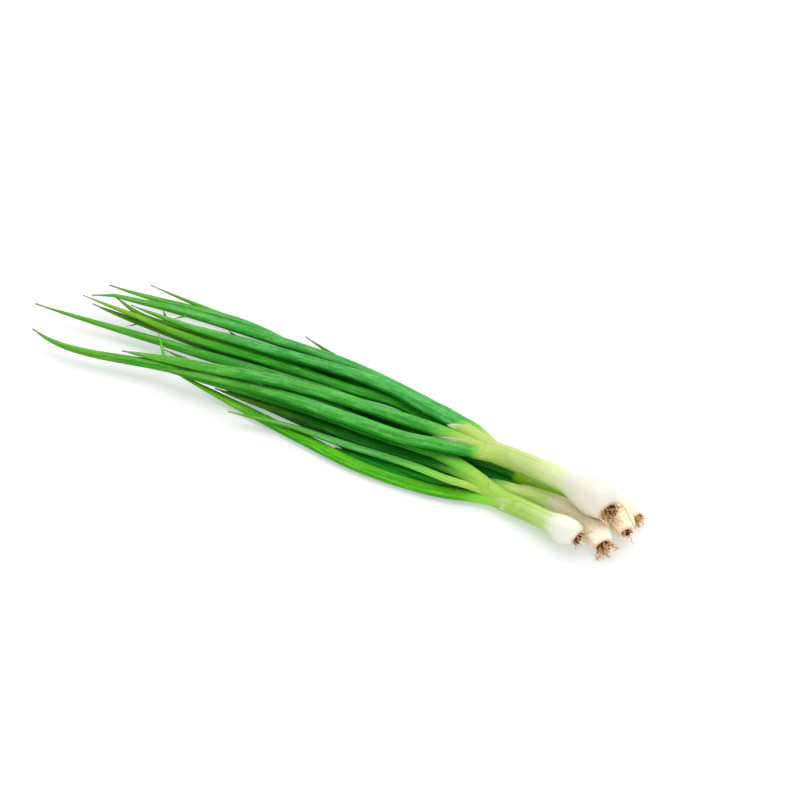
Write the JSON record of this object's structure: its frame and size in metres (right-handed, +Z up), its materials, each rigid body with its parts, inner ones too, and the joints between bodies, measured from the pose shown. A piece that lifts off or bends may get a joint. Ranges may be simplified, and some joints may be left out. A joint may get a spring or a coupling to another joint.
{
  "type": "spring onion bunch",
  "caption": "Loose bunch of spring onions lying on its side: pale bulbs with trimmed root tufts, and stems that fork into long, tapering, hollow green leaves.",
  "frame": {"origin": "middle of the bounding box, on the level surface that the bunch lies on", "axes": "+X runs along the bunch towards the bulbs, +Y across it, away from the side with the two front bulbs, +Z up"},
  "size_m": [0.4427, 0.1088, 0.0347],
  "materials": {
    "pale_stem": "smooth, waxy, white at the bulb and yellow-green at the fork",
    "leaf_green": "satin, waxy, mid green, paler near the stem, dry at the tip",
    "lower_leaf_green": "satin, waxy, dark green",
    "root_brown": "dry, rough, brown"
  },
  "bodies": {
    "root": {"onion_a": "pale_stem", "onion_b": "pale_stem", "onion_c": "pale_stem", "onion_d": "pale_stem", "onion_e": "pale_stem", "roots_a": "root_brown", "roots_b": "root_brown", "roots_c": "root_brown", "roots_d": "root_brown", "roots_e": "root_brown", "leaf_a1": "leaf_green", "leaf_a2": "leaf_green", "leaf_a3": "leaf_green", "leaf_a4": "leaf_green", "leaf_b1": "leaf_green", "leaf_b2": "leaf_green", "leaf_b3": "leaf_green", "leaf_b4": "leaf_green", "leaf_c1": "lower_leaf_green", "leaf_c2": "lower_leaf_green", "leaf_c3": "lower_leaf_green", "leaf_d1": "lower_leaf_green", "leaf_d2": "lower_leaf_green", "leaf_d3": "lower_leaf_green", "leaf_e1": "lower_leaf_green", "leaf_e2": "lower_leaf_green", "leaf_e3": "lower_leaf_green", "leaf_e4": "lower_leaf_green"}
  },
  "joints": []
}
